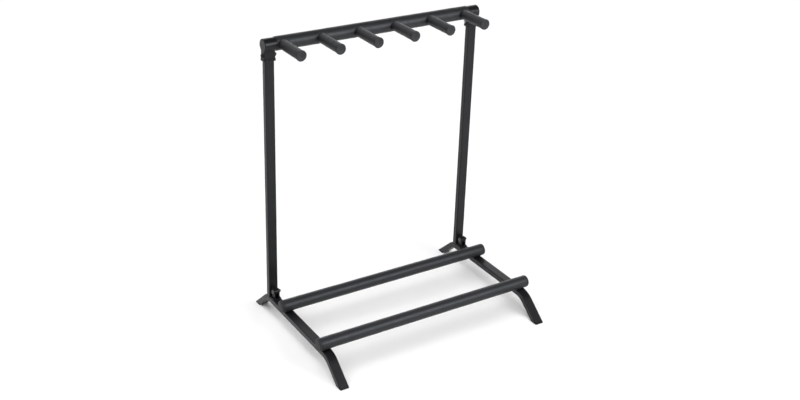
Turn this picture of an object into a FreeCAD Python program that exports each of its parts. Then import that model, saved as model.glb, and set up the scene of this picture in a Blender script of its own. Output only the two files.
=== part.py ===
import FreeCAD, Part

import math
import os

import Sketcher

# A folding floor rack for five guitars.
#
# Frame: millimetres, +Z up, +X to the right as seen from the front, +Y to the back.
# The origin is on the floor, midway between the two legs and midway between toes and heels.

# ---------------------------------------------------------------- driving dimensions

SIZES = {
    # layout of the whole rack
    "upright_x": 249.0,            # centre plane of each leg and upright
    "upright_y": 130.5,            # centre line of the uprights and of the top bar
    "leg_height": 50.0,            # floor to the top of a leg
    "foot_reach": 197.0,           # origin to the tips of the toes and of the heels
    "rear_bar_y": 55.0,
    "front_bar_y": -113.0,
    "top_bar_z": 630.5,
    "seat_gap": 0.3,               # play where an upright stands on a leg or in its socket
    # flat steel tube of the legs and the uprights
    "tube_width": 21.0,
    "tube_depth": 13.0,
    "tube_wall": 1.2,
    "tube_corner": 2.0,
    # bends of a leg: outer radius, and slope of the foot in degrees
    "front_bend": 52.0,
    "front_slope": 38.5,
    "rear_bend": 25.0,
    "rear_slope": 42.0,
    # foot caps
    "foot_cap_flange": 3.0,
    "foot_cap_plug": 14.0,
    "foot_cap_round": 0.5,
    # padded base bars
    "base_bar_length": 535.0,
    "base_sleeve_diameter": 26.8,
    "base_sleeve_lift": 0.1,
    "base_tube_diameter": 16.0,
    "round_tube_wall": 1.5,
    "bar_cap_flange": 5.0,
    "bar_cap_plug": 8.0,
    "bar_cap_round": 3.2,
    # padded top bar
    "top_sleeve_diameter": 29.5,
    "top_tube_diameter": 19.0,
    # corner connectors
    "connector_width": 25.0,
    "connector_depth": 17.0,
    "connector_corner": 2.5,
    "connector_barrel": 27.2,
    "connector_drum": 27.5,        # length of the barrel; it runs past the socket towards the middle
    "connector_drop": 32.5,        # top bar axis to the lower rim of the socket
    "connector_seat": 15.0,        # top bar axis to the ceiling of the socket
    "connector_end_wall": 2.5,
    "connector_round": 1.5,
    "connector_lip": 1.2,          # rim at the foot of the socket: how far it stands out, and its height
    "connector_lip_height": 4.0,
    "connector_bolt_drop": 21.5,   # top bar axis to the cross bolt
    # fingers
    "finger_pitch": 88.3,
    "finger_reach": 91.0,          # top bar axis to the finger's end face
    "finger_sleeve_diameter": 21.7,
    "finger_rod_diameter": 12.0,
    "finger_cap_diameter": 23.2,
    "finger_cap_flange": 3.0,
    "finger_cap_plug": 8.0,
    "finger_cap_round": 1.5,
    "finger_cap_dimple": 4.0,
    # fold hinges
    "pivot_forward": 10.5,         # front face of the upright to the hinge axis
    "pivot_height": 16.5,          # top of the leg to the hinge axis
    "ear_radius": 7.0,
    "ear_thickness": 2.4,
    "ear_gap": 7.2,
    "hinge_plate_width": 19.0,
    "hinge_plate_length": 18.0,
    "hinge_plate_thickness": 2.0,
    "lug_width": 6.8,
    # fasteners
    "running_fit": 0.1,            # bore over shank, on the diameter
    "bolt_large": 6.0,
    "head_large": 10.5,
    "head_large_height": 3.3,
    "bolt_small": 5.0,
    "head_small": 9.5,
    "head_small_height": 2.8,
    "head_round": 1.6,
    "hex_socket": 4.0,
    "hex_socket_depth": 1.6,
    "nut_small": 8.0,
    "nut_small_height": 4.0,
    "thread_tail": 1.2,            # bolt end that stands out of its nut
    "insert_diameter": 9.0,
    "insert_length": 9.0,
    "insert_hole_in_sleeve": 12.0,
    "base_bolt_length": 25.0,
}

FINGERS = 6

doc = FreeCAD.newDocument("GuitarRack")
sheet = doc.addObject("Spreadsheet::Sheet", "Sizes")
for row, (alias, value) in enumerate(SIZES.items(), start=1):
    sheet.set(f"A{row}", alias)
    sheet.set(f"B{row}", str(value))
    sheet.setAlias(f"B{row}", alias)
doc.recompute()

sub_parts = []

# positions that several sub-parts share, as formulas of the sheet
PIVOT_Y = "(Sizes.upright_y - Sizes.tube_depth / 2 - Sizes.pivot_forward)"
PIVOT_Z = "(Sizes.leg_height + Sizes.pivot_height)"
BASE_BAR_Z = "(Sizes.leg_height + Sizes.base_sleeve_lift + Sizes.base_sleeve_diameter / 2)"
BARS = {"front": "Sizes.front_bar_y", "rear": "Sizes.rear_bar_y"}
SIDES = {"left": -1, "right": 1}


# ---------------------------------------------------------------- helpers: bodies and placement

def new_body(name):
    body = doc.addObject("PartDesign::Body", name)
    body.Label = name
    return body


def place(item, x="0", y="0", z="0", turn=None):
    """Place a sub-part: formulas for its position, and a turn as (axis, degrees)."""
    if turn:
        axis, degrees = turn
        item.Placement = FreeCAD.Placement(FreeCAD.Vector(0, 0, 0), FreeCAD.Rotation(axis, degrees))
    for letter, formula in (("x", x), ("y", y), ("z", z)):
        item.setExpression(f".Placement.Base.{letter}", formula)


def keep(item):
    """Count an object as a sub-part of the rack, to be written to a file of its own."""
    sub_parts.append(item)
    return item


def group(name, members):
    """Put identical fasteners into one sub-part, as separate solids."""
    compound = doc.addObject("Part::Compound", name)
    compound.Label = name
    compound.Links = members
    return keep(compound)


X_AXIS = FreeCAD.Vector(1, 0, 0)
Y_AXIS = FreeCAD.Vector(0, 1, 0)
Z_AXIS = FreeCAD.Vector(0, 0, 1)


# ---------------------------------------------------------------- helpers: sketches

def add_sketch(body, role, offset=None):
    """Add a sketch on one of the body's origin planes, moved along the normal by a formula."""
    sketch = body.newObject("Sketcher::SketchObject", body.Name + "_sketch")
    plane = next(item for item in body.Origin.OriginFeatures if item.Role == role)
    sketch.AttachmentSupport = (plane, [""])
    sketch.MapMode = "FlatFace"
    if offset:
        sketch.setExpression(".AttachmentOffset.Base.z", offset)
    return sketch


def fix(sketch, formula, *constraint):
    """Add a driving constraint whose value follows a formula of the sheet."""
    index = sketch.addConstraint(Sketcher.Constraint(*constraint))
    sketch.setExpression(f"Constraints[{index}]", formula)


def tie(sketch, *constraint):
    sketch.addConstraint(Sketcher.Constraint(*constraint))


def line(sketch, start, end):
    points = FreeCAD.Vector(*start, 0), FreeCAD.Vector(*end, 0)
    return sketch.addGeometry(Part.LineSegment(*points), False)


def arc(sketch, centre, radius, start_degrees, end_degrees):
    circle = Part.Circle(FreeCAD.Vector(*centre, 0), Z_AXIS, radius)
    ends = math.radians(start_degrees), math.radians(end_degrees)
    return sketch.addGeometry(Part.ArcOfCircle(circle, *ends), False)


def add_circle(sketch, diameter, across=None, up=None):
    """Draw a circle at the sketch's origin, or at the given offsets from it."""
    circle = sketch.addGeometry(Part.Circle(FreeCAD.Vector(0, 0, 0), Z_AXIS, 5.0), False)
    if across is None and up is None:
        tie(sketch, "Coincident", circle, 3, -1, 1)
    else:
        fix(sketch, across or "0", "DistanceX", -1, 1, circle, 3, 0.0)
        fix(sketch, up or "0", "DistanceY", -1, 1, circle, 3, 0.0)
    fix(sketch, diameter, "Diameter", circle, 10.0)


def add_rectangle(sketch, width, height):
    """Draw a rectangle centred on the sketch's origin."""
    corners = [(-5, -5), (5, -5), (5, 5), (-5, 5)]
    sides = [line(sketch, corners[i], corners[(i + 1) % 4]) for i in range(4)]
    for i in range(4):
        tie(sketch, "Coincident", sides[i], 2, sides[(i + 1) % 4], 1)
        tie(sketch, "Horizontal" if i % 2 == 0 else "Vertical", sides[i])
    tie(sketch, "Symmetric", sides[0], 1, sides[2], 1, -1, 1)
    fix(sketch, width, "DistanceX", sides[0], 1, sides[0], 2, 10.0)
    fix(sketch, height, "DistanceY", sides[1], 1, sides[1], 2, 10.0)


def add_rounded_rectangle(sketch, width, height, corner):
    """Draw a centred rectangle with round corners."""
    half_width, half_height, radius = 9.0, 6.0, 1.5
    signs = [(1, -1), (1, 1), (-1, 1), (-1, -1)]
    arcs = []
    for i, (right, top) in enumerate(signs):
        centre = (right * (half_width - radius), top * (half_height - radius))
        arcs.append(arc(sketch, centre, radius, 90 * i - 90, 90 * i))
    ends = [sketch.getPoint(item, 2) for item in arcs]
    starts = [sketch.getPoint(item, 1) for item in arcs]
    sides = []
    for i in range(4):
        start, end = ends[i], starts[(i + 1) % 4]
        sides.append(line(sketch, (start.x, start.y), (end.x, end.y)))
    for i in range(4):
        tie(sketch, "Tangent", arcs[i], 2, sides[i], 1)
        tie(sketch, "Tangent", sides[i], 2, arcs[(i + 1) % 4], 1)
        tie(sketch, "Vertical" if i % 2 == 0 else "Horizontal", sides[i])
    for other in arcs[1:]:
        tie(sketch, "Equal", arcs[0], other)
    tie(sketch, "Symmetric", arcs[0], 3, arcs[2], 3, -1, 1)
    fix(sketch, corner, "Radius", arcs[0], radius)
    fix(sketch, width, "DistanceX", sides[2], 1, sides[0], 1, 2 * half_width)
    fix(sketch, height, "DistanceY", sides[3], 1, sides[1], 1, 2 * half_height)


def add_hexagon(sketch, across_flats):
    """Draw a regular hexagon about the sketch's origin, one pair of flats level."""
    corners = [(6 * math.cos(math.radians(60 * i)), 6 * math.sin(math.radians(60 * i))) for i in range(6)]
    sides = [line(sketch, corners[i], corners[(i + 1) % 6]) for i in range(6)]
    guide = sketch.addGeometry(Part.Circle(FreeCAD.Vector(0, 0, 0), Z_AXIS, 6.0), True)
    tie(sketch, "Coincident", guide, 3, -1, 1)
    for i in range(6):
        tie(sketch, "Coincident", sides[i], 2, sides[(i + 1) % 6], 1)
        tie(sketch, "PointOnObject", sides[i], 1, guide)
    for other in sides[1:]:
        tie(sketch, "Equal", sides[0], other)
    tie(sketch, "Horizontal", sides[1])
    fix(sketch, f"{across_flats} / cos(30 deg)", "Diameter", guide, 12.0)


def add_tongue(sketch, radius, reach):
    """Draw a tongue: a half circle about the origin on top of a block that reaches down."""
    size, depth = 7.0, 12.0
    cap = arc(sketch, (0, 0), size, 0, 180)
    left = line(sketch, (-size, 0), (-size, -depth))
    foot = line(sketch, (-size, -depth), (size, -depth))
    right = line(sketch, (size, -depth), (size, 0))
    tie(sketch, "Coincident", cap, 3, -1, 1)
    tie(sketch, "Tangent", cap, 2, left, 1)
    tie(sketch, "Coincident", left, 2, foot, 1)
    tie(sketch, "Coincident", foot, 2, right, 1)
    tie(sketch, "Tangent", right, 2, cap, 1)
    tie(sketch, "Horizontal", foot)
    tie(sketch, "Vertical", left)
    tie(sketch, "Vertical", right)
    fix(sketch, radius, "Radius", cap, size)
    fix(sketch, reach, "DistanceY", left, 2, left, 1, depth)


def add_slanted_block(sketch, start_x, start_y, base, height, slope):
    """Draw a parallelogram with level top and bottom, leaning right at `slope` degrees."""
    lean = 8.0
    corners = [(0, 0), (20, 0), (20 + lean, lean), (lean, lean)]
    bottom, right, top, left = [line(sketch, corners[i], corners[(i + 1) % 4]) for i in range(4)]
    for first, second in ((bottom, right), (right, top), (top, left), (left, bottom)):
        tie(sketch, "Coincident", first, 2, second, 1)
    tie(sketch, "Horizontal", bottom)
    tie(sketch, "Horizontal", top)
    tie(sketch, "Parallel", left, right)
    fix(sketch, f"{slope} * 1 deg", "Angle", -1, 1, right, 1, math.radians(45))
    fix(sketch, start_x, "DistanceX", -1, 1, bottom, 1, 0.0)
    fix(sketch, start_y, "DistanceY", -1, 1, bottom, 1, 0.0)
    fix(sketch, base, "DistanceX", bottom, 1, bottom, 2, 20.0)
    fix(sketch, height, "DistanceY", right, 1, right, 2, lean)


# ---------------------------------------------------------------- helpers: features

def extrude(kind, sketch, length=None, both_ways=False, flip=False):
    """Pad or pocket a sketch; with no length a pocket goes through everything."""
    body = sketch.getParentGeoFeatureGroup()
    feature = body.newObject("PartDesign::" + kind, body.Name + "_" + kind.lower())
    feature.Profile = sketch
    if both_ways:
        feature.SideType = "Symmetric"
    feature.Reversed = flip
    if length is None:
        feature.Type = "ThroughAll"
    else:
        feature.setExpression("Length", length)
    sketch.Visibility = False
    return feature


def sweep(kind, section, path):
    body = section.getParentGeoFeatureGroup()
    feature = body.newObject("PartDesign::" + kind, body.Name + "_" + kind.lower())
    feature.Profile = section
    feature.Spine = (path, [])
    return feature


def round_edges(feature, radius, wanted):
    """Fillet the edges of a feature that pass a test."""
    doc.recompute()
    names = [f"Edge{i}" for i, edge in enumerate(feature.Shape.Edges, start=1) if wanted(edge)]
    body = feature.getParentGeoFeatureGroup()
    fillet = body.newObject("PartDesign::Fillet", body.Name + "_fillet")
    fillet.Base = (feature, names)
    fillet.setExpression("Radius", radius)
    return fillet


def size(alias):
    return SIZES[alias]


# ---------------------------------------------------------------- helpers: repeated kinds of piece

def round_tube(name, role, outer, inner, length, flip=False, both_ways=True):
    """Make a round tube along the normal of an origin plane."""
    body = new_body(name)
    sketch = add_sketch(body, role)
    add_circle(sketch, outer)
    add_circle(sketch, inner)
    extrude("Pad", sketch, length, both_ways=both_ways, flip=flip)
    return body


def drill(body, role, diameter, places, flip=False, both_ways=False, depth=None, offset=None):
    """Cut round holes along the normal of an origin plane, at (across, up) formulas."""
    sketch = add_sketch(body, role, offset)
    for across, up in places:
        add_circle(sketch, diameter, across, up)
    return extrude("Pocket", sketch, depth, both_ways=both_ways, flip=flip)


def headed_pin(name, head, head_height, stem, stem_length, rounding):
    """Make a round head from x = 0 outwards, with a stem back along -X: a bolt or a plug."""
    body = new_body(name)
    head_sketch = add_sketch(body, "YZ_Plane")
    add_circle(head_sketch, f"Sizes.{head}")
    disc = extrude("Pad", head_sketch, f"Sizes.{head_height}")
    rim = size(head_height)
    round_edges(disc, f"Sizes.{rounding}", lambda edge: abs(edge.BoundBox.XMin - rim) < 1e-6)
    stem_sketch = add_sketch(body, "YZ_Plane")
    add_circle(stem_sketch, stem)
    extrude("Pad", stem_sketch, stem_length, flip=True)
    return body


def button_bolt(name, kind, length):
    """Make a button-head bolt with a hexagon socket; its head points to +X."""
    height = f"head_{kind}_height"
    body = headed_pin(name, f"head_{kind}", height, f"Sizes.bolt_{kind}", length, "head_round")
    socket = add_sketch(body, "YZ_Plane", f"Sizes.{height}")
    add_hexagon(socket, "Sizes.hex_socket")
    extrude("Pocket", socket, "Sizes.hex_socket_depth")
    return body


def hexagon_nut(name, kind):
    """Make a nut from x = 0 outwards along +X."""
    body = new_body(name)
    sketch = add_sketch(body, "YZ_Plane")
    add_hexagon(sketch, f"Sizes.nut_{kind}")
    add_circle(sketch, f"Sizes.bolt_{kind} + Sizes.running_fit")
    extrude("Pad", sketch, f"Sizes.nut_{kind}_height")
    return body


def flat_tube_outline(sketch, inset):
    """Draw the flat tube's cross-section, made smaller all round by a formula."""
    add_rounded_rectangle(sketch, f"Sizes.tube_width - 2 * ({inset})", f"Sizes.tube_depth - 2 * ({inset})",
                          f"Sizes.tube_corner - ({inset}) / 2")


# ---------------------------------------------------------------- legs and foot caps

def straight_length(end):
    """Formula for the straight run of a leg from the origin to the start of a bend."""
    slope = f"(Sizes.{end}_slope * 1 deg)"
    bend = f"Sizes.{end}_bend"
    drop_after_bend = f"(Sizes.leg_height - {bend} * (1 - cos{slope}))"
    return f"Sizes.foot_reach - {bend} * sin{slope} - {drop_after_bend} / tan{slope}"


def leg_path(body, end, way):
    """Draw the centre line of one half of a leg: straight, bent, then sloping to the floor."""
    path = add_sketch(body, "YZ_Plane")
    slope = math.radians(size(f"{end}_slope"))
    radius = size(f"{end}_bend") - size("tube_depth") / 2
    run = size("foot_reach") - 80
    turn_end = (way * (run + radius * math.sin(slope)), radius * (math.cos(slope) - 1))
    foot = size("leg_height")
    tip = (turn_end[0] + way * foot * math.cos(slope), turn_end[1] - foot * math.sin(slope))
    level = line(path, (0, 0), (way * run, 0))
    if way > 0:
        bend = arc(path, (run, -radius), radius, 90 - math.degrees(slope), 90)
    else:
        bend = arc(path, (-run, -radius), radius, 90, 90 + math.degrees(slope))
    near, far = (2, 1) if way > 0 else (1, 2)
    sloping = line(path, turn_end, tip)
    tie(path, "Coincident", level, 1, -1, 1)
    tie(path, "Horizontal", level)
    tie(path, "Tangent", level, 2, bend, near)
    tie(path, "Tangent", bend, far, sloping, 1)
    fix(path, f"Sizes.{end}_bend - Sizes.tube_depth / 2", "Radius", bend, radius)
    fix(path, straight_length(end), "Distance", level, run)
    fix(path, "Sizes.leg_height", "DistanceY", sloping, 2, sloping, 1, foot * math.sin(slope))
    angle = -slope if way > 0 else math.pi + slope
    formula = f"-Sizes.{end}_slope * 1 deg" if way > 0 else f"(180 + Sizes.{end}_slope) * 1 deg"
    fix(path, formula, "Angle", -1, 1, sloping, 1, angle)
    path.Visibility = False
    return path


def make_leg(side, sign):
    body = keep(new_body(f"leg_{side}"))
    outside = add_sketch(body, "XZ_Plane")
    flat_tube_outline(outside, "0")
    inside = add_sketch(body, "XZ_Plane")
    flat_tube_outline(inside, "Sizes.tube_wall")
    paths = [leg_path(body, "front", -1), leg_path(body, "rear", 1)]
    for path in paths:
        sweep("AdditivePipe", outside, path)
    for path in paths:
        sweep("SubtractivePipe", inside, path)
    floor_cut = add_sketch(body, "XY_Plane", "Sizes.foot_cap_flange + Sizes.tube_depth / 2 - Sizes.leg_height")
    add_rectangle(floor_cut, "3 * Sizes.tube_width", "3 * Sizes.foot_reach")
    extrude("Pocket", floor_cut)
    hole = "Sizes.bolt_large + 4 * Sizes.running_fit"
    drill(body, "XY_Plane", hole, [("0", y) for y in BARS.values()], both_ways=True)
    place(body, f"{sign} * Sizes.upright_x", "0", "Sizes.leg_height - Sizes.tube_depth / 2")


def runs_up_at(edge, distance):
    """Tell whether an edge climbs, straight, in the plane |x| = distance."""
    box = edge.BoundBox
    return abs(abs(box.XMin) - distance) < 1e-6 and box.XLength < 1e-6 and box.ZLength > 1


def make_foot_cap(end, side, sign):
    """Make a cap: a flange under the cut end of the foot and a plug inside the tube."""
    body = keep(new_body(f"foot_cap_{end}_{side}"))
    slope = f"Sizes.{end}_slope"
    base = f"Sizes.tube_depth / sin({slope} * 1 deg)"
    inset = "(Sizes.tube_wall + Sizes.running_fit)"
    flange = add_sketch(body, "YZ_Plane")
    add_slanted_block(flange, "0", "0", base, "Sizes.foot_cap_flange", slope)
    block = extrude("Pad", flange, "Sizes.tube_width", both_ways=True)
    half_width = size("tube_width") / 2
    half_plug = half_width - size("tube_wall") - size("running_fit")
    rounded = round_edges(block, "Sizes.tube_corner", lambda edge: runs_up_at(edge, half_width))
    round_edges(rounded, "Sizes.foot_cap_round", lambda edge: edge.BoundBox.ZMax < 1e-6)
    plug = add_sketch(body, "YZ_Plane")
    shift = f"Sizes.foot_cap_flange / tan({slope} * 1 deg) + {inset} / sin({slope} * 1 deg)"
    add_slanted_block(plug, shift, "Sizes.foot_cap_flange",
                      f"(Sizes.tube_depth - 2 * {inset}) / sin({slope} * 1 deg)",
                      "Sizes.foot_cap_plug", slope)
    stopper = extrude("Pad", plug, f"Sizes.tube_width - 2 * {inset}", both_ways=True)
    round_edges(stopper, "Sizes.tube_corner - Sizes.tube_wall / 2", lambda edge: runs_up_at(edge, half_plug))
    way = -1 if end == "front" else 1
    place(body, f"{sign} * Sizes.upright_x", f"{way} * Sizes.foot_reach",
          turn=(Z_AXIS, 0 if end == "front" else 180))


# ---------------------------------------------------------------- padded base bars

def make_base_bar(end):
    y = BARS[end]
    length = "Sizes.base_bar_length - 2 * Sizes.bar_cap_flange"
    bore = "Sizes.base_tube_diameter - 2 * Sizes.round_tube_wall"
    tube = keep(round_tube(f"base_tube_{end}", "YZ_Plane", "Sizes.base_tube_diameter", bore, length))
    sleeve = keep(round_tube(f"base_sleeve_{end}", "YZ_Plane", "Sizes.base_sleeve_diameter",
                             "Sizes.base_tube_diameter + Sizes.running_fit", length))
    leg_places = [(f"{sign} * Sizes.upright_x", "0") for sign in SIDES.values()]
    drill(tube, "XY_Plane", "Sizes.insert_diameter + Sizes.running_fit", leg_places)
    drill(sleeve, "XY_Plane", "Sizes.insert_hole_in_sleeve", leg_places)
    for item in (tube, sleeve):
        place(item, "0", y, BASE_BAR_Z)
    for side, sign in SIDES.items():
        cap = keep(headed_pin(f"base_cap_{end}_{side}", "base_sleeve_diameter", "bar_cap_flange",
                              f"{bore} - Sizes.running_fit", "Sizes.bar_cap_plug", "bar_cap_round"))
        place(cap, f"{sign} * ({length}) / 2", y, BASE_BAR_Z, turn=(Z_AXIS, 0 if sign > 0 else 180))


def make_base_fasteners():
    """Bolts from under the legs into threaded inserts in the base tubes."""
    bolts = []
    inserts = []
    for end, y in BARS.items():
        for side, sign in SIDES.items():
            bolt = button_bolt(f"base_bolt_{end}_{side}", "large", "Sizes.base_bolt_length")
            place(bolt, f"{sign} * Sizes.upright_x", y, "Sizes.leg_height - Sizes.tube_depth",
                  turn=(Y_AXIS, 90))
            bolts.append(bolt)
            insert = round_tube(f"base_insert_{end}_{side}", "XY_Plane", "Sizes.insert_diameter",
                                "Sizes.bolt_large + Sizes.running_fit", "Sizes.insert_length",
                                both_ways=False)
            place(insert, f"{sign} * Sizes.upright_x", y, f"{BASE_BAR_Z} - Sizes.base_tube_diameter / 2")
            inserts.append(insert)
    group("base_bar_bolts", bolts)
    group("base_bar_inserts", inserts)


# ---------------------------------------------------------------- fold hinges

def make_hinge_bracket(side, sign):
    """Make a plate on the leg with two ears either side of the upright's lug."""
    body = keep(new_body(f"hinge_bracket_{side}"))
    below = "Sizes.pivot_height"
    ears = add_sketch(body, "YZ_Plane")
    add_tongue(ears, "Sizes.ear_radius", below)
    extrude("Pad", ears, "Sizes.ear_gap + 2 * Sizes.ear_thickness", both_ways=True)
    gap = add_sketch(body, "XY_Plane", f"Sizes.hinge_plate_thickness - {below}")
    add_rectangle(gap, "Sizes.ear_gap", "4 * Sizes.ear_radius")
    extrude("Pocket", gap, flip=True)
    plate = add_sketch(body, "XY_Plane", f"-{below}")
    add_rounded_rectangle(plate, "Sizes.hinge_plate_width", "Sizes.hinge_plate_length", "Sizes.tube_corner")
    extrude("Pad", plate, "Sizes.hinge_plate_thickness")
    drill(body, "YZ_Plane", "Sizes.bolt_small + Sizes.running_fit", [("0", "0")], both_ways=True)
    place(body, f"{sign} * Sizes.upright_x", PIVOT_Y, PIVOT_Z)


def make_hinge_lug(side, sign):
    """Make the tongue that stands out of the upright's front face and turns on the bolt."""
    body = keep(new_body(f"hinge_lug_{side}"))
    tongue = add_sketch(body, "YZ_Plane")
    add_tongue(tongue, "Sizes.ear_radius", "Sizes.pivot_forward")
    extrude("Pad", tongue, "Sizes.lug_width", both_ways=True)
    drill(body, "YZ_Plane", "Sizes.bolt_small + Sizes.running_fit", [("0", "0")], both_ways=True)
    place(body, f"{sign} * Sizes.upright_x", PIVOT_Y, PIVOT_Z, turn=(X_AXIS, 90))


def make_cross_bolts(kind, name, y, z, grip, head_sides):
    """Make a pair of bolts along X, each with its head on the given side of the upright, and their nuts."""
    bolts = []
    nuts = []
    for side, sign in SIDES.items():
        head = head_sides[side]
        length = f"{grip} + Sizes.nut_{kind}_height + Sizes.thread_tail"
        bolt = button_bolt(f"{name}_bolt_{side}", kind, length)
        place(bolt, f"{sign} * Sizes.upright_x + {head} * ({grip}) / 2", y, z,
              turn=(Z_AXIS, 0 if head > 0 else 180))
        bolts.append(bolt)
        nut = hexagon_nut(f"{name}_nut_{side}", kind)
        place(nut, f"{sign} * Sizes.upright_x - {head} * ({grip}) / 2", y, z,
              turn=(Z_AXIS, 180 if head > 0 else 0))
        nuts.append(nut)
    group(f"{name}_bolts", bolts)
    group(f"{name}_nuts", nuts)


# ---------------------------------------------------------------- upper frame

def make_upright(side, sign):
    body = keep(new_body(f"upright_{side}"))
    section = add_sketch(body, "XY_Plane")
    flat_tube_outline(section, "0")
    flat_tube_outline(section, "Sizes.tube_wall")
    foot = "(Sizes.leg_height + Sizes.seat_gap)"
    extrude("Pad", section, f"Sizes.top_bar_z - Sizes.connector_seat - Sizes.seat_gap - {foot}")
    drill(body, "YZ_Plane", "Sizes.bolt_small + 2 * Sizes.running_fit",
          [("0", f"Sizes.top_bar_z - Sizes.connector_bolt_drop - {foot}")], both_ways=True)
    place(body, f"{sign} * Sizes.upright_x", "Sizes.upright_y", foot)


def make_connector(side, sign):
    """Make a corner connector: a barrel over the top tube's end and a socket for the upright."""
    body = keep(new_body(f"connector_{side}"))
    barrel = add_sketch(body, "YZ_Plane", "Sizes.connector_width / 2")
    add_circle(barrel, "Sizes.connector_barrel")
    drum = extrude("Pad", barrel, "Sizes.connector_drum", flip=True)
    outer_face = size("connector_width") / 2
    round_edges(drum, "Sizes.connector_round", lambda edge: abs(edge.BoundBox.XMin - outer_face) < 1e-6)
    socket = add_sketch(body, "XY_Plane")
    add_rounded_rectangle(socket, "Sizes.connector_width", "Sizes.connector_depth", "Sizes.connector_corner")
    extrude("Pad", socket, "Sizes.connector_drop", flip=True)
    lip = add_sketch(body, "XY_Plane", "-Sizes.connector_drop")
    add_rounded_rectangle(lip, "Sizes.connector_width + 2 * Sizes.connector_lip",
                          "Sizes.connector_depth + 2 * Sizes.connector_lip",
                          "Sizes.connector_corner + Sizes.connector_lip")
    extrude("Pad", lip, "Sizes.connector_lip_height")
    cavity = add_sketch(body, "XY_Plane", "-Sizes.connector_drop")
    flat_tube_outline(cavity, "-Sizes.running_fit")
    extrude("Pocket", cavity, "Sizes.connector_drop - Sizes.connector_seat", flip=True)
    drill(body, "YZ_Plane", "Sizes.top_tube_diameter + Sizes.running_fit", [("0", "0")],
          depth="Sizes.connector_drum", offset="Sizes.connector_width / 2 - Sizes.connector_end_wall")
    drill(body, "YZ_Plane", "Sizes.bolt_small + 2 * Sizes.running_fit",
          [("0", "-Sizes.connector_bolt_drop")], both_ways=True)
    place(body, f"{sign} * Sizes.upright_x", "Sizes.upright_y", "Sizes.top_bar_z",
          turn=(Z_AXIS, 0 if sign > 0 else 180))


def finger_x(number):
    """Formula for the X of a finger, numbered from 1 at the left."""
    return f"{number - (FINGERS + 1) / 2} * Sizes.finger_pitch"


def make_top_bar():
    wall = "2 * Sizes.round_tube_wall"
    tube_end = "(Sizes.upright_x + Sizes.connector_width / 2 - Sizes.connector_end_wall)"
    tube = keep(round_tube("top_tube", "YZ_Plane", "Sizes.top_tube_diameter",
                           f"Sizes.top_tube_diameter - {wall}", f"2 * ({tube_end} - Sizes.running_fit)"))
    sleeve_end = "(Sizes.upright_x + Sizes.connector_width / 2 - Sizes.connector_drum)"
    sleeve = keep(round_tube("top_sleeve", "YZ_Plane", "Sizes.top_sleeve_diameter",
                             "Sizes.top_tube_diameter + Sizes.running_fit", f"2 * {sleeve_end}"))
    drill(sleeve, "XZ_Plane", "Sizes.finger_rod_diameter + 2 * Sizes.running_fit",
          [(finger_x(number), "0") for number in range(1, FINGERS + 1)], flip=True)
    for item in (tube, sleeve):
        place(item, "0", "Sizes.upright_y", "Sizes.top_bar_z")


def make_finger(number):
    """Make a rod on the top tube, its foam sleeve and its end cap."""
    length = "Sizes.finger_reach - Sizes.finger_cap_flange"
    rod_bore = "Sizes.finger_rod_diameter - 2 * Sizes.round_tube_wall"
    rod = keep(round_tube(f"finger_rod_{number}", "XZ_Plane", "Sizes.finger_rod_diameter", rod_bore,
                          length, both_ways=False))
    drill(rod, "YZ_Plane", "Sizes.top_tube_diameter", [("0", "0")], both_ways=True)
    sleeve = keep(round_tube(f"finger_sleeve_{number}", "XZ_Plane", "Sizes.finger_sleeve_diameter",
                             "Sizes.finger_rod_diameter + Sizes.running_fit", length, both_ways=False))
    drill(sleeve, "YZ_Plane", "Sizes.top_sleeve_diameter + 2 * Sizes.running_fit", [("0", "0")],
          both_ways=True)
    cap = keep(headed_pin(f"finger_cap_{number}", "finger_cap_diameter", "finger_cap_flange",
                          f"{rod_bore} - Sizes.running_fit", "Sizes.finger_cap_plug", "finger_cap_round"))
    drill(cap, "YZ_Plane", "Sizes.finger_cap_dimple", [("0", "0")], depth="Sizes.finger_cap_flange / 3",
          offset="Sizes.finger_cap_flange")
    for item in (rod, sleeve):
        place(item, finger_x(number), "Sizes.upright_y", "Sizes.top_bar_z")
    place(cap, finger_x(number), f"Sizes.upright_y - ({length})", "Sizes.top_bar_z", turn=(Z_AXIS, -90))


# ---------------------------------------------------------------- assembly

for side_name, side_sign in SIDES.items():
    make_leg(side_name, side_sign)
    for end_name in BARS:
        make_foot_cap(end_name, side_name, side_sign)
    make_hinge_bracket(side_name, side_sign)
    make_hinge_lug(side_name, side_sign)
    make_upright(side_name, side_sign)
    make_connector(side_name, side_sign)
for end_name in BARS:
    make_base_bar(end_name)
make_base_fasteners()
make_cross_bolts("small", "hinge", PIVOT_Y, PIVOT_Z, "Sizes.ear_gap + 2 * Sizes.ear_thickness",
                 {"left": -1, "right": -1})
make_cross_bolts("small", "connector", "Sizes.upright_y", "Sizes.top_bar_z - Sizes.connector_bolt_drop",
                 "Sizes.connector_width", SIDES)
make_top_bar()
for finger_number in range(1, FINGERS + 1):
    make_finger(finger_number)

doc.recompute()

# ---------------------------------------------------------------- checks and export

for item in doc.Objects:
    if {"Invalid", "Error"} & set(item.State):
        raise RuntimeError(f"{item.Label} failed: {item.State}")
for item in sub_parts:
    if item.Shape.isNull() or not item.Shape.isValid() or not item.Shape.Solids:
        raise RuntimeError(f"{item.Label} has no valid solid")

os.makedirs("parts", exist_ok=True)
for item in sub_parts:
    item.Shape.exportStep(f"parts/{item.Label}.step")
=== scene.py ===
# Guitar rack for five guitars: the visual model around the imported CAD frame.
# Metres, in the CAD frame: X along the bars, -Y to the front, Z up, floor at Z = 0.
import math

import bmesh
import bpy
import numpy as np
from mathutils import Matrix, Vector, noise


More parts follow.
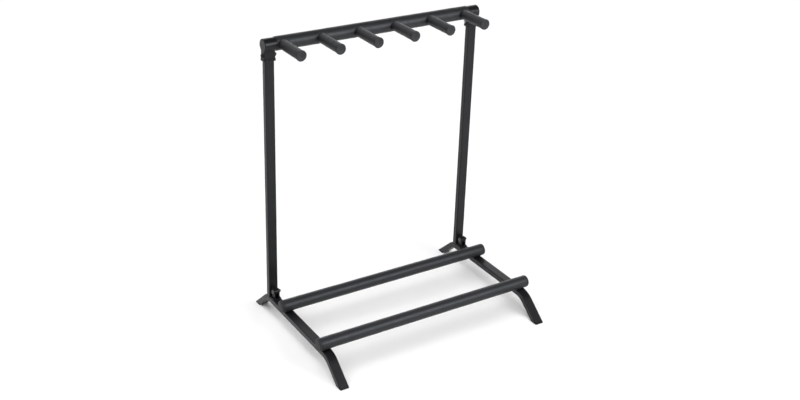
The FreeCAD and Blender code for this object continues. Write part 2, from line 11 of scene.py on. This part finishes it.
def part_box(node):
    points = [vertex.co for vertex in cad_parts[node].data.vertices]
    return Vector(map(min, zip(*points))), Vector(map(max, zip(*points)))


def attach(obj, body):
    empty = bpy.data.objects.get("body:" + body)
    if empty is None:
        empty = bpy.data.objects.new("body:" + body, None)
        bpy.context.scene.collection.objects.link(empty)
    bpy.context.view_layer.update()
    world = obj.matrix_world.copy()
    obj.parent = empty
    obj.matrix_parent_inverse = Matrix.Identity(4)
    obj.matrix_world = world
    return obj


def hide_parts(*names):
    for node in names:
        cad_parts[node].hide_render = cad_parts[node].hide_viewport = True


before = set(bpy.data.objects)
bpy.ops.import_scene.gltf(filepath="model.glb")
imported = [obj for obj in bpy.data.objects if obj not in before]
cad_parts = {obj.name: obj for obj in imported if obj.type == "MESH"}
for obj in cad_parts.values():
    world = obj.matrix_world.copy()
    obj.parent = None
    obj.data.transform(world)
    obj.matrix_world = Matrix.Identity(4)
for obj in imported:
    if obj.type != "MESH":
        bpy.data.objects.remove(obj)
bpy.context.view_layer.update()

MM = 0.001
SIDES = ("left", "right")
ENDS = ("front", "rear")
FINGERS = range(1, 7)
X, Y, Z = np.eye(3)

# ---------------------------------------------------------------- driving values

FOAM_PLAY = 0.05 * MM               # bore of a foam sleeve over its tube, on the radius
BAR_WAVE = (0.16 * MM, 22.0 * MM)   # how far a bar's skin strays from true, and over what length
FINGER_WAVE = (0.14 * MM, 18.0 * MM)

NUT_FLATS = 8.0 * MM
NUT_HEIGHT = 4.0 * MM
NUT_BORE = 2.55 * MM                # radius
EARS_HALF = 6.0 * MM                # half the width over the two ears of a hinge bracket
SOCKET_HALF = 12.5 * MM             # half the width of a connector's socket

MIDDLE = (0.0, 0.0, 0.35)           # what the softboxes face
KEY_PLACE = (0.90, -1.90, 1.38)     # at the front right, at the camera's height
BACKDROP_TOWARDS = (0.788, 0.616, 0.0)
BACKDROP_RADIANCE = 1.9
WALL_RADIANCE = 0.65
AMBIENT_RADIANCE = 0.05

CAMERA_PLACE = (-1.21600, -1.86668, 1.39487)
CAMERA_AZIMUTH = 32.900             # degrees from +Y towards +X
CAMERA_FALL = 25.370                # degrees that the view looks down
CAMERA_ROLL = 2.014                 # degrees
CAMERA_LENS = 52.193                # millimetres, on a sensor 36 mm wide


# ---------------------------------------------------------------- positions from the CAD nodes

def centre(node):
    low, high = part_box(node)
    return (low + high) / 2


def extent(node):
    low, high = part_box(node)
    return high - low


# ---------------------------------------------------------------- material graphs

# a Mix node's sockets for colour, which share their names with its other kinds
MIX_FIRST, MIX_SECOND, MIX_RESULT = 6, 7, 2


class Graph:
    """Node tree of one material, with its textures in the piece's own coordinates."""

    def __init__(self, name):
        self.material = bpy.data.materials.new(name)
        self.material.use_nodes = True
        self.tree = self.material.node_tree
        self.tree.nodes.clear()
        self.shader = self.add("ShaderNodeBsdfPrincipled")
        output = self.add("ShaderNodeOutputMaterial")
        self.link(self.shader.outputs["BSDF"], output.inputs["Surface"])
        self.where = self.add("ShaderNodeTexCoord").outputs["Object"]

    def add(self, kind, **values):
        """Add a node; a value goes to the socket of that name, or else to the node's own setting."""
        node = self.tree.nodes.new(kind)
        for key, value in values.items():
            if key in node.inputs:
                node.inputs[key].default_value = value
            else:
                setattr(node, key, value)
        return node

    def link(self, source, target):
        self.tree.links.new(source, target)

    def stretched(self, scale):
        """Coordinates stretched by a factor on each axis."""
        mapping = self.add("ShaderNodeMapping", Scale=scale)
        self.link(self.where, mapping.inputs["Vector"])
        return mapping.outputs["Vector"]

    def noise(self, size, detail=3.0, stretch=None):
        """Noise with blotches of about the given size."""
        node = self.add("ShaderNodeTexNoise", Scale=1.0 / size, Detail=detail)
        self.link(self.stretched(stretch) if stretch else self.where, node.inputs["Vector"])
        return node.outputs["Fac"]

    def cells(self, size, smoothness=0.6):
        """Rounded cells of about the given size."""
        node = self.add("ShaderNodeTexVoronoi", Scale=1.0 / size, feature="SMOOTH_F1",
                        Smoothness=smoothness)
        self.link(self.where, node.inputs["Vector"])
        return node.outputs["Distance"]

    def spread(self, source, low, high, narrow=0.25):
        """Stretch the middle of a noise over low to high."""
        node = self.add("ShaderNodeMapRange")
        node.inputs["From Min"].default_value = 0.5 - narrow
        node.inputs["From Max"].default_value = 0.5 + narrow
        node.inputs["To Min"].default_value = low
        node.inputs["To Max"].default_value = high
        self.link(source, node.inputs["Value"])
        return node.outputs["Result"]

    def blend(self, factor, first, second):
        """Blend two colours by a factor; each colour is a texture or a plain (r, g, b)."""
        node = self.add("ShaderNodeMix", data_type="RGBA")
        self.link(factor, node.inputs["Factor"])
        for index, colour in ((MIX_FIRST, first), (MIX_SECOND, second)):
            if isinstance(colour, tuple):
                node.inputs[index].default_value = (*colour, 1.0)
            else:
                self.link(colour, node.inputs[index])
        return node.outputs[MIX_RESULT]

    def patchy(self, size, detail, first, second):
        """Blend two colours in patches of about the given size."""
        return self.blend(self.spread(self.noise(size, detail), 0.0, 1.0), first, second)

    def bumps(self, layers):
        """Stack height textures: (texture, height in metres)."""
        normal = None
        for texture, height in layers:
            node = self.add("ShaderNodeBump", Strength=1.0, Distance=height)
            self.link(texture, node.inputs["Height"])
            if normal:
                self.link(normal, node.inputs["Normal"])
            normal = node.outputs["Normal"]
        self.link(normal, self.shader.inputs["Normal"])

    def finish(self, **values):
        """Set the shader's sockets, by texture or by plain value, and return the material."""
        for key, value in values.items():
            name = key.replace("_", " ")
            if hasattr(value, "is_linked"):
                self.link(value, self.shader.inputs[name])
            else:
                self.shader.inputs[name].default_value = value
        return self.material


def darker(colour, share):
    return tuple(share * level for level in colour)


# ---------------------------------------------------------------- materials

def powder_coat(name, sheen):
    """Satin black powder coat on steel tube: orange peel, fine grain, and slight cloudiness."""
    g = Graph(name)
    colour = g.patchy(0.03, 4.0, (0.0065, 0.0065, 0.0075), (0.0105, 0.0105, 0.0115))
    g.bumps([
        (g.noise(2.2 * MM, 2.0), 0.05 * MM),
        (g.noise(0.45 * MM, 2.0), 0.012 * MM),
    ])
    return g.finish(Base_Color=colour, Roughness=g.spread(g.noise(0.02, 5.0), 0.28, 0.37),
                    Specular_IOR_Level=sheen, Specular_Tint=(0.95, 0.95, 1.0, 1.0))


def foam_skin(name, along):
    """Closed-cell foam tube: satin skin with pores, faint ribs along axis 0, 1 or 2, and rubbed patches."""
    g = Graph(name)
    light = (0.0170, 0.0172, 0.0188)
    stretch = [1.0, 1.0, 1.0]
    stretch[along] = 0.12
    colour = g.patchy(0.025, 4.0, darker(light, 0.82), light)
    g.bumps([
        (g.noise(9.0 * MM, 3.0), 0.16 * MM),
        (g.noise(1.6 * MM, 2.0, stretch), 0.03 * MM),
        (g.cells(0.9 * MM), 0.035 * MM),
    ])
    return g.finish(Base_Color=colour, Roughness=g.spread(g.noise(0.012, 4.0), 0.46, 0.58),
                    Specular_IOR_Level=0.37, Specular_Tint=(0.89, 0.94, 1.0, 1.0))


def moulded(name, light, roughness, texture, sheen):
    """Moulded black plastic with spark-eroded grain of the given size."""
    g = Graph(name)
    colour = g.patchy(0.02, 3.0, darker(light, 0.85), light)
    g.bumps([
        (g.noise(6.0 * MM, 2.0), 0.04 * MM),
        (g.cells(texture), 0.03 * MM),
    ])
    gloss = g.spread(g.noise(0.008, 4.0), roughness - 0.05, roughness + 0.06)
    return g.finish(Base_Color=colour, Roughness=gloss, Specular_IOR_Level=sheen,
                    Specular_Tint=(0.92, 0.95, 1.0, 1.0))


def dark_zinc(name, level, bare_inside=0.0):
    """Dark zinc plate of about the given level; nearer the middle plane than bare_inside it is bright."""
    g = Graph(name)
    colour = g.patchy(3.0 * MM, 5.0, (0.7 * level,) * 3, (1.3 * level,) * 3)
    if bare_inside:
        split = g.add("ShaderNodeSeparateXYZ")
        g.link(g.where, split.inputs["Vector"])
        across = g.add("ShaderNodeMath", operation="ABSOLUTE")
        g.link(split.outputs["X"], across.inputs[0])
        bare = g.add("ShaderNodeMath", operation="LESS_THAN")
        g.link(across.outputs[0], bare.inputs[0])
        bare.inputs[1].default_value = bare_inside
        bright = g.blend(g.noise(1.0 * MM, 4.0), (0.30, 0.30, 0.29), (0.45, 0.45, 0.44))
        colour = g.blend(bare.outputs[0], colour, bright)
    g.bumps([(g.noise(0.5 * MM, 3.0, (1.0, 1.0, 0.3)), 0.01 * MM)])
    return g.finish(Base_Color=colour, Metallic=0.7, Roughness=g.spread(g.noise(2.0 * MM, 4.0), 0.36, 0.5))


# the bare ends of the connector bolts start at this distance from the middle plane
THREAD_END = centre("upright_right").x - SOCKET_HALF - NUT_HEIGHT + 0.1 * MM

COAT = powder_coat("powder_coat", sheen=0.27)
HINGE_STEEL = powder_coat("powder_coat_hinge", sheen=0.15)
FOAM_BAR = foam_skin("foam_bar", along=0)
FOAM_FINGER = foam_skin("foam_finger", along=1)
CAP = moulded("cap_plastic", (0.0190, 0.0190, 0.0200), roughness=0.55, texture=0.7 * MM, sheen=0.37)
FOOT = moulded("foot_plastic", (0.0060, 0.0060, 0.0070), roughness=0.6, texture=0.8 * MM, sheen=0.18)
SOCKET = moulded("connector_plastic", (0.0090, 0.0090, 0.0100), roughness=0.35, texture=0.6 * MM, sheen=0.25)
DARK_NUTS = dark_zinc("dark_zinc_nuts", 0.025)
DARK_BOLTS = dark_zinc("dark_zinc_bolts", 0.025, bare_inside=THREAD_END)
HINGE_BOLTS = dark_zinc("zinc_hinge_bolts", 0.12)

# finish of every CAD node that stays, by a word in its name
NODE_FINISHES = {
    "leg_": COAT,
    "upright_": COAT,
    "base_tube_": COAT,
    "top_tube": COAT,
    "finger_rod_": COAT,
    "foot_cap_": FOOT,
    "connector_left": SOCKET,
    "connector_right": SOCKET,
    "base_bar_bolts": DARK_BOLTS,
    "base_bar_inserts": DARK_BOLTS,
    "connector_bolts": DARK_BOLTS,
    "hinge_bolts": HINGE_BOLTS,
    "hinge_bracket_": HINGE_STEEL,
    "hinge_lug_": HINGE_STEEL,
}


# ---------------------------------------------------------------- mesh building

ONE_POINT = np.zeros((1, 3))        # a loop that has shrunk to its middle


def circle(across, up, steps):
    """Points of a unit circle in the plane of two directions."""
    angle = np.linspace(0.0, 2.0 * math.pi, steps, endpoint=False)
    return np.outer(np.cos(angle), across) + np.outer(np.sin(angle), up)


def turned(section, origin, along, across, up, steps):
    """Vertex loops of a turned shape, from (distance, radius) points; a radius of 0 makes one vertex."""
    origin = np.array(origin, float)
    ring = circle(across, up, steps)
    loops = []
    for distance, radius in section:
        loops.append(origin + along * distance + (ring * radius if radius > 0 else ONE_POINT))
    return loops


def skin(loops, closed):
    """Join a list of vertex loops into one surface; closed joins the last loop to the first."""
    starts = np.cumsum([0] + [len(loop) for loop in loops])
    pairs = list(zip(range(len(loops) - 1), range(1, len(loops))))
    if closed:
        pairs.append((len(loops) - 1, 0))
    faces = []
    for a, b in pairs:
        count = max(len(loops[a]), len(loops[b]))
        for i in range(count):
            j = (i + 1) % count
            quad = [starts[a] + i % len(loops[a]), starts[a] + j % len(loops[a]),
                    starts[b] + j % len(loops[b]), starts[b] + i % len(loops[b])]
            faces.append(tuple(dict.fromkeys(int(v) for v in quad)))
    return np.vstack(loops), faces


def joined(meshes):
    """Put several (vertices, faces) meshes into one."""
    faces = []
    shift = 0
    for vertices, own_faces in meshes:
        faces += [tuple(v + shift for v in face) for face in own_faces]
        shift += len(vertices)
    return np.vstack([vertices for vertices, own_faces in meshes]), faces


def add_piece(name, shape, material, body, replaces=(), smooth_angle=35.0):
    """Make an object of a (vertices, faces) shape, ride it on its body and hide the CAD nodes that it stands
    for.
    """
    vertices, faces = shape
    mesh = bpy.data.meshes.new(name)
    mesh.from_pydata([tuple(v) for v in vertices], [], faces)
    bm = bmesh.new()
    bm.from_mesh(mesh)
    bmesh.ops.recalc_face_normals(bm, faces=bm.faces)
    bm.to_mesh(mesh)
    bm.free()
    mesh.shade_smooth()
    mesh.set_sharp_from_angle(angle=math.radians(smooth_angle))
    mesh.materials.append(material)
    piece = bpy.data.objects.new(name, mesh)
    bpy.context.scene.collection.objects.link(piece)
    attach(piece, body)
    if replaces:
        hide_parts(*replaces)
    return piece


def arc(distance, height, radius, start, end, count):
    """Points of an arc about (distance, height) in a section, angles in degrees from the distance axis."""
    angles = [math.radians(a) for a in np.linspace(start, end, count)]
    return [(distance + radius * math.cos(a), height + radius * math.sin(a)) for a in angles]


def sleeve_section(length, outer, bore, edge, step):
    """Closed section of a foam tube with rolled ends, in (distance, radius)."""
    count = max(2, round((length - 2 * edge) / step))
    section = [(0.0, bore + edge / 2)]
    section += arc(edge, outer - edge, edge, 180, 90, 6)
    section += [(s, outer) for s in np.linspace(edge, length - edge, count + 1)[1:-1]]
    section += arc(length - edge, outer - edge, edge, 90, 0, 6)
    section += [(length, bore + edge / 2), (length - edge / 2, bore), (edge / 2, bore)]
    return section


def smooth(value):
    """Ease from 0 to 1."""
    value = np.clip(value, 0.0, 1.0)
    return value * value * (3.0 - 2.0 * value)


def uneven(vertices, axis_point, axis, wave):
    """Move each vertex a little out from or in to the axis, as a soft tube is never quite true."""
    amount, size = wave
    moved = vertices.copy()
    for i, v in enumerate(vertices):
        arm = v - axis_point
        arm = arm - axis * (arm @ axis)
        moved[i] = v + arm / np.linalg.norm(arm) * amount * noise.noise(Vector(v) / size)
    return moved


# ---------------------------------------------------------------- padded base bars

def pressed_on_legs(vertices, axis_point, radius, leg_top):
    """Flatten a base sleeve where it rests on the legs and let it bulge to the sides there."""
    leg_x = abs(centre("leg_left").x)
    leg_half = extent("leg_left").x / 2
    fade, bulge, clear = 8.0 * MM, 0.45 * MM, 0.08 * MM
    near = 1.0 - smooth((np.abs(np.abs(vertices[:, 0]) - leg_x) - leg_half) / fade)
    arm = vertices[:, 1:] - axis_point[1:]
    reach = np.linalg.norm(arm, axis=1)
    outside = reach > 0.8 * radius
    low = smooth(-arm[:, 1] / radius) * outside
    vertices[:, 1:] += arm / reach[:, None] * (near * low * bulge)[:, None]
    vertices[:, 2] = np.where(near > 0, np.maximum(vertices[:, 2], leg_top + clear), vertices[:, 2])
    return vertices


def add_base_bar(end):
    node = f"base_sleeve_{end}"
    low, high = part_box(node)
    middle = np.array(centre(node))
    radius = (high.z - low.z) / 2
    bore = extent(f"base_tube_{end}").z / 2 + FOAM_PLAY
    section = sleeve_section(high.x - low.x, radius, bore, edge=1.3 * MM, step=4.0 * MM)
    start = (low.x, middle[1], middle[2])
    vertices, faces = skin(turned(section, start, X, Y, Z, steps=72), closed=True)
    vertices = uneven(vertices, middle, X, BAR_WAVE)
    vertices = pressed_on_legs(vertices, middle, radius, leg_top=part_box("hinge_bracket_left")[0].z)
    piece = add_piece(f"{node}_foam", (vertices, faces), FOAM_BAR, "base", [node])
    for side in SIDES:
        add_bar_cap(end, side)


def add_bar_cap(end, side):
    """End plug: button-shaped head with a moulded ring, and the plug inside the tube."""
    node = f"base_cap_{end}_{side}"
    low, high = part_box(node)
    middle = centre(node)
    radius = (high.z - low.z) / 2
    deep = high.x - low.x
    sign, tip = (1, high.x) if side == "right" else (-1, low.x)
    plug, head, edge = 6.4 * MM, 5.0 * MM, 3.2 * MM
    groove = 0.34 * MM     # depth of the groove round the middle of the face
    section = [(-deep, 0.0), (-deep, plug), (-head, plug), (-head, radius - 0.5 * MM),
               (-head + 0.4 * MM, radius)]
    section += arc(-edge, radius - edge, edge, 90, 6, 10)
    section += [(-0.03 * MM, radius * 0.70), (-0.05 * MM, radius * 0.66), (-groove, radius * 0.62),
                (-groove, radius * 0.56), (-0.08 * MM, radius * 0.52), (0.0, radius * 0.3), (0.0, 0.0)]
    origin = (tip, middle.y, middle.z)
    shape = skin(turned(section, origin, sign * X, Y, Z, steps=64), closed=False)
    add_piece(f"{node}_moulding", shape, CAP, "base", [node])


# ---------------------------------------------------------------- padded top bar and fingers

def pressed_by_fingers(vertices, axis_point):
    """Dent the skin of the top sleeve in a ring at the root of each finger."""
    depth, fade, skin_from = 1.0 * MM, 2.0 * MM, 11.0 * MM
    finger_radius = extent("finger_sleeve_1").x / 2
    arm = vertices[:, 1:] - axis_point[1:]
    reach = np.linalg.norm(arm, axis=1)
    front_skin = (arm[:, 0] < 0) * (reach > skin_from)
    for number in FINGERS:
        x = centre(f"finger_rod_{number}").x
        distance = np.hypot(vertices[:, 0] - x, vertices[:, 2] - axis_point[2])
        dent = np.where(distance < finger_radius, 1.0, np.exp(-((distance - finger_radius) / fade) ** 2))
        vertices[:, 1:] -= arm / reach[:, None] * (dent * front_skin * depth)[:, None]
    return vertices


def add_top_bar():
    low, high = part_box("top_sleeve")
    middle = np.array(centre("top_sleeve"))
    radius = (high.z - low.z) / 2
    bore = extent("top_tube").z / 2 + FOAM_PLAY
    section = sleeve_section(high.x - low.x, radius, bore, edge=1.2 * MM, step=2.0 * MM)
    start = (low.x, middle[1], middle[2])
    vertices, faces = skin(turned(section, start, X, Y, Z, steps=88), closed=True)
    vertices = uneven(vertices, middle, X, BAR_WAVE)
    vertices = pressed_by_fingers(vertices, middle)
    piece = add_piece("top_sleeve_foam", (vertices, faces), FOAM_BAR, "upper_frame", ["top_sleeve"])
    for number in FINGERS:
        add_finger(number, middle, radius)


def add_finger(number, bar_middle, bar_radius):
    """Foam sleeve with a saddle root against the top sleeve, and its end cap."""
    node = f"finger_sleeve_{number}"
    low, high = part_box(node)
    x = centre(node).x
    radius = (high.x - low.x) / 2
    bore = extent(f"finger_rod_{number}").x / 2 + FOAM_PLAY
    root = bar_radius - 0.35 * MM
    saddle_length = 18.0 * MM
    start = np.array([x, bar_middle[1] - root, bar_middle[2]])
    section = sleeve_section(start[1] - low.y, radius, bore, edge=1.1 * MM, step=2.5 * MM)
    vertices, faces = skin(turned(section, start, -Y, X, Z, steps=56), closed=True)
    run = start[1] - vertices[:, 1]
    height = vertices[:, 2] - bar_middle[2]
    saddle = root - np.sqrt(root ** 2 - height ** 2)
    vertices[:, 1] += saddle * (1.0 - smooth(run / saddle_length))
    vertices = uneven(vertices, start, Y, FINGER_WAVE)
    piece = add_piece(f"{node}_foam", (vertices, faces), FOAM_FINGER, "upper_frame", [node])
    add_finger_cap(number)


def add_finger_cap(number):
    """End cap: rounded rim, slightly sunk face and a gate dimple."""
    node = f"finger_cap_{number}"
    low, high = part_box(node)
    middle = centre(node)
    radius = (high.x - low.x) / 2
    deep = high.y - low.y
    plug, flange, edge = 4.4 * MM, 3.0 * MM, 1.5 * MM
    face, dimple = 0.3 * MM, 1.0 * MM     # how far they are sunk
    section = [(-deep, 0.0), (-deep, plug), (-flange, plug), (-flange, radius - 0.6 * MM),
               (-flange + 0.5 * MM, radius)]
    section += arc(-edge, radius - edge, edge, 90, 5, 7)
    section += [(-0.1 * MM, radius * 0.78), (-face, radius * 0.72), (-face, 2.6 * MM)]
    section += [(-0.4 * MM, 2.1 * MM), (-0.95 * MM, 1.7 * MM), (-dimple, 0.0)]
    origin = (middle.x, low.y, middle.z)
    shape = skin(turned(section, origin, -Y, X, Z, steps=56), closed=False)
    add_piece(f"{node}_moulding", shape, CAP, "upper_frame", [node])


# ---------------------------------------------------------------- nuts and welds

def hexagon_radius(distance, angle, flats, height, chamfer):
    """Radius of a hexagon nut at an angle, cut down by the chamfer cones at both faces."""
    corner = flats / 2 / math.cos((angle % (math.pi / 3)) - math.pi / 6)
    from_face = min(distance, height - distance)
    if from_face >= chamfer:
        return corner
    corner_height = 0.155 * flats / 2
    return min(corner, flats / 2 + from_face / chamfer * corner_height)


def lock_nut(origin, along):
    """Lock nut: chamfered hexagon, a collar for its ring, and a threaded bore."""
    steps = 60
    angles = np.linspace(0.0, 2.0 * math.pi, steps, endpoint=False)
    chamfer = 0.09 * NUT_FLATS
    body = 0.78 * NUT_HEIGHT
    collar = 0.44 * NUT_FLATS
    edge = 0.3 * MM
    bevel = 0.25 * MM
    rows = []
    for s in (0.0, chamfer / 2, chamfer, body - chamfer, body - chamfer / 2, body):
        rows.append((s, np.array([hexagon_radius(s, a, NUT_FLATS, body, chamfer) for a in angles])))
    round_rows = [(body, collar), (NUT_HEIGHT - edge, collar), (NUT_HEIGHT, collar - edge),
                  (NUT_HEIGHT, NUT_BORE + bevel), (NUT_HEIGHT - bevel, NUT_BORE), (bevel, NUT_BORE),
                  (0.0, NUT_BORE + bevel)]
    rows += [(s, np.full(steps, radius)) for s, radius in round_rows]
    ring = circle(Y, Z, steps)
    return skin([origin + along * s + ring * radii[:, None] for s, radii in rows], closed=True)


def add_nuts(kind, body, seats):
    """Replace a pair of plain nuts by lock nuts; seats has the X of each seat and the way it faces."""
    node = f"{kind}_nuts"
    middle = centre(node)
    shape = joined([lock_nut(np.array([x, middle.y, middle.z]), way * X) for x, way in seats])
    add_piece(f"{kind}_lock_nuts", shape, DARK_NUTS, body, [node], smooth_angle=25.0)


def weld_bead(start, end, radius, out, seed):
    """Weld bead between two points: overlapping ripples, rounded ends."""
    start, end, out = (np.array(v, float) for v in (start, end, out))
    length = np.linalg.norm(end - start)
    along = (end - start) / length
    ring = circle(np.cross(along, out), out, steps=16)
    count = max(6, int(length / (0.35 * MM)))
    pitch, roughness = 1.5 * MM, 2.0 * MM
    loops = []
    for i in range(count + 1):
        s = length * i / count
        from_end = min(s, length - s)
        ripple = 1.0 + 0.10 * math.sin(2.0 * math.pi * s / pitch)
        ripple += 0.08 * noise.noise(Vector((s / roughness, seed, 0.0)))
        dome = math.sqrt(max(0.0, 1.0 - (1.0 - from_end / radius) ** 2)) if from_end < radius else 1.0
        thickness = radius * ripple * dome
        loops.append(start + along * s + (ring * thickness if thickness > 1e-6 else ONE_POINT))
    return skin(loops, closed=False)


def add_bracket_weld(side):
    """Bead between a leg and the front edge of its hinge bracket."""
    radius, half = 1.3 * MM, 7.5 * MM
    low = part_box(f"hinge_bracket_{side}")[0]
    x, y, z = centre(f"leg_{side}").x, low.y - 0.2 * MM, low.z + 0.5 * MM
    shape = weld_bead((x - half, y, z), (x + half, y, z), radius, (Z - Y) / math.sqrt(2), seed=1.0 + x)
    add_piece(f"bracket_weld_{side}", shape, COAT, "base", smooth_angle=60.0)


def add_lug_weld(side):
    """Beads between an upright and both sides of its hinge lug."""
    radius = 1.1 * MM
    low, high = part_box(f"hinge_lug_{side}")
    x = centre(f"leg_{side}").x
    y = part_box(f"upright_{side}")[0].y + 0.1 * MM
    beads = []
    for sign in (-1, 1):
        edge = x + sign * (extent(f"hinge_lug_{side}").x / 2 + 0.3 * MM)
        beads.append(weld_bead((edge, y, low.z), (edge, y, high.z), radius, (sign * X - Y) / math.sqrt(2),
                               seed=5.0 * sign + x))
    add_piece(f"lug_weld_{side}", joined(beads), COAT, "upper_frame", smooth_angle=60.0)


# ---------------------------------------------------------------- the CAD nodes that stay

def finish_cad_nodes():
    for name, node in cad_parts.items():
        if node.hide_render:
            continue
        for key, material in NODE_FINISHES.items():
            if key in name:
                node.data.materials.clear()
                node.data.materials.append(material)
                for polygon in node.data.polygons:
                    polygon.material_index = 0


# ---------------------------------------------------------------- stage, light and camera

def add_floor():
    """Sheet of white paper, wide enough to reach the horizon."""
    half = 40.0
    corners = [(-half, -half, 0), (half, -half, 0), (half, half, 0), (-half, half, 0)]
    mesh = bpy.data.meshes.new("floor")
    mesh.from_pydata(corners, [], [(0, 1, 2, 3)])
    floor = bpy.data.objects.new("floor", mesh)
    bpy.context.scene.collection.objects.link(floor)
    g = Graph("floor_paper")
    colour = g.blend(g.noise(0.4, 3.0), (0.94, 0.94, 0.94), (0.96, 0.96, 0.96))
    mesh.materials.append(g.finish(Base_Color=colour, Roughness=0.9, Specular_IOR_Level=0.1))


def add_world():
    """Dark studio with a long pale backdrop low at the back right and a dim wall; the camera sees white."""
    world = bpy.data.worlds.new("studio")
    bpy.context.scene.world = world
    world.use_nodes = True
    tree = world.node_tree
    tree.nodes.clear()

    def node(kind, **values):
        made = tree.nodes.new(kind)
        for key, value in values.items():
            setattr(made, key, value)
        return made

    def ramp(source, nothing, full):
        """Ease from 0 where the source is `nothing` to 1 where it is `full`."""
        made = node("ShaderNodeMapRange", interpolation_type="SMOOTHSTEP")
        made.inputs["From Min"].default_value = nothing
        made.inputs["From Max"].default_value = full
        tree.links.new(source, made.inputs["Value"])
        return made.outputs["Result"]

    def product(first, second):
        made = node("ShaderNodeMath", operation="MULTIPLY")
        tree.links.new(first, made.inputs[0])
        tree.links.new(second, made.inputs[1])
        return made.outputs[0]

    def scaled_plus(source, scale, base):
        """The source times a number, plus a number or another texture."""
        made = node("ShaderNodeMath", operation="MULTIPLY_ADD")
        tree.links.new(source, made.inputs[0])
        made.inputs[1].default_value = scale
        if isinstance(base, float):
            made.inputs[2].default_value = base
        else:
            tree.links.new(base, made.inputs[2])
        return made.outputs[0]

    where = node("ShaderNodeTexCoord").outputs["Generated"]
    split = node("ShaderNodeSeparateXYZ")
    tree.links.new(where, split.inputs["Vector"])
    facing = node("ShaderNodeVectorMath", operation="DOT_PRODUCT")
    tree.links.new(where, facing.inputs[0])
    facing.inputs[1].default_value = BACKDROP_TOWARDS
    backdrop = product(ramp(facing.outputs["Value"], 0.45, 0.75), ramp(split.outputs["Z"], 0.46, 0.30))
    wall = product(ramp(split.outputs["Y"], 0.1, 0.6), ramp(split.outputs["Z"], 0.85, 0.45))
    level = scaled_plus(wall, WALL_RADIANCE, AMBIENT_RADIANCE)
    level = scaled_plus(backdrop, BACKDROP_RADIANCE, level)
    lit = node("ShaderNodeBackground")
    tree.links.new(level, lit.inputs["Strength"])
    seen = node("ShaderNodeBackground")
    mix = node("ShaderNodeMixShader")
    tree.links.new(node("ShaderNodeLightPath").outputs["Is Camera Ray"], mix.inputs[0])
    tree.links.new(lit.outputs["Background"], mix.inputs[1])
    tree.links.new(seen.outputs["Background"], mix.inputs[2])
    for background in (lit, seen):
        background.inputs["Color"].default_value = (1.0, 1.0, 1.0, 1.0)
    output = node("ShaderNodeOutputWorld")
    tree.links.new(mix.outputs["Shader"], output.inputs["Surface"])


def add_light(name, kind, place, target, power):
    """Light of the given kind at a place, turned to a target."""
    lamp = bpy.data.lights.new(name, kind)
    lamp.energy = power
    light = bpy.data.objects.new(name, lamp)
    bpy.context.scene.collection.objects.link(light)
    light.location = place
    light.rotation_mode = "QUATERNION"
    light.rotation_quaternion = (Vector(target) - Vector(place)).to_track_quat("-Z", "Y")
    return light


def add_soft_sun(name, azimuth, elevation, width, irradiance, mirrored=True):
    """Wide, distant light: azimuth from +X to +Y, all angles in degrees; mirrored, it shows in gloss."""
    azimuth, elevation = math.radians(azimuth), math.radians(elevation)
    towards = Vector((math.cos(azimuth) * math.cos(elevation), math.sin(azimuth) * math.cos(elevation),
                      math.sin(elevation)))
    light = add_light(name, "SUN", towards * 3.0, (0.0, 0.0, 0.0), irradiance)
    light.data.angle = math.radians(width)
    light.visible_glossy = mirrored


def add_softbox(name, place, size, power, sheen_only=False):
    """Square panel facing the middle of the rack; a sheen-only one shows in gloss and lights nothing."""
    light = add_light(name, "AREA", place, MIDDLE, power)
    light.data.size = size
    light.visible_camera = False
    light.visible_diffuse = not sheen_only


def add_lights():
    add_soft_sun("top_left", azimuth=180.0, elevation=60.0, width=55.0, irradiance=1.5)
    add_soft_sun("top_front", azimuth=256.0, elevation=60.0, width=40.0, irradiance=0.65, mirrored=False)
    add_soft_sun("top_back", azimuth=110.0, elevation=62.0, width=40.0, irradiance=0.35)
    add_soft_sun("overhead", azimuth=150.0, elevation=84.0, width=40.0, irradiance=0.35, mirrored=False)
    add_softbox("key", KEY_PLACE, size=1.2, power=20.0)
    add_softbox("key_sheen", KEY_PLACE, size=1.0, power=40.0, sheen_only=True)


def add_camera():
    azimuth, fall, roll = (math.radians(a) for a in (CAMERA_AZIMUTH, CAMERA_FALL, CAMERA_ROLL))
    forward = Vector((math.sin(azimuth) * math.cos(fall), math.cos(azimuth) * math.cos(fall),
                      -math.sin(fall)))
    level = Vector((math.cos(azimuth), -math.sin(azimuth), 0.0))
    upright = level.cross(forward)
    right = level * math.cos(roll) + upright * math.sin(roll)
    up = upright * math.cos(roll) - level * math.sin(roll)
    data = bpy.data.cameras.new("camera")
    data.sensor_width = 36.0
    data.lens = CAMERA_LENS
    data.shift_y = -0.03
    data.clip_start = 0.05
    data.clip_end = 120.0
    camera = bpy.data.objects.new("camera", data)
    bpy.context.scene.collection.objects.link(camera)
    turn = Matrix((right, up, -forward)).transposed().to_4x4()
    camera.matrix_world = Matrix.Translation(CAMERA_PLACE) @ turn
    bpy.context.scene.camera = camera


# ---------------------------------------------------------------- the whole scene

for bar_end in ENDS:
    add_base_bar(bar_end)
add_top_bar()
upright_x = centre("upright_right").x
add_nuts("hinge", "base", [(sign * upright_x + EARS_HALF, 1) for sign in (-1, 1)])
add_nuts("connector", "upper_frame", [(sign * (upright_x - SOCKET_HALF), -sign) for sign in (-1, 1)])
for weld_side in SIDES:
    add_bracket_weld(weld_side)
    add_lug_weld(weld_side)
finish_cad_nodes()

add_floor()
add_world()
add_lights()
add_camera()
view = bpy.context.scene.view_settings
view.view_transform = "Standard"
view.look = "None"
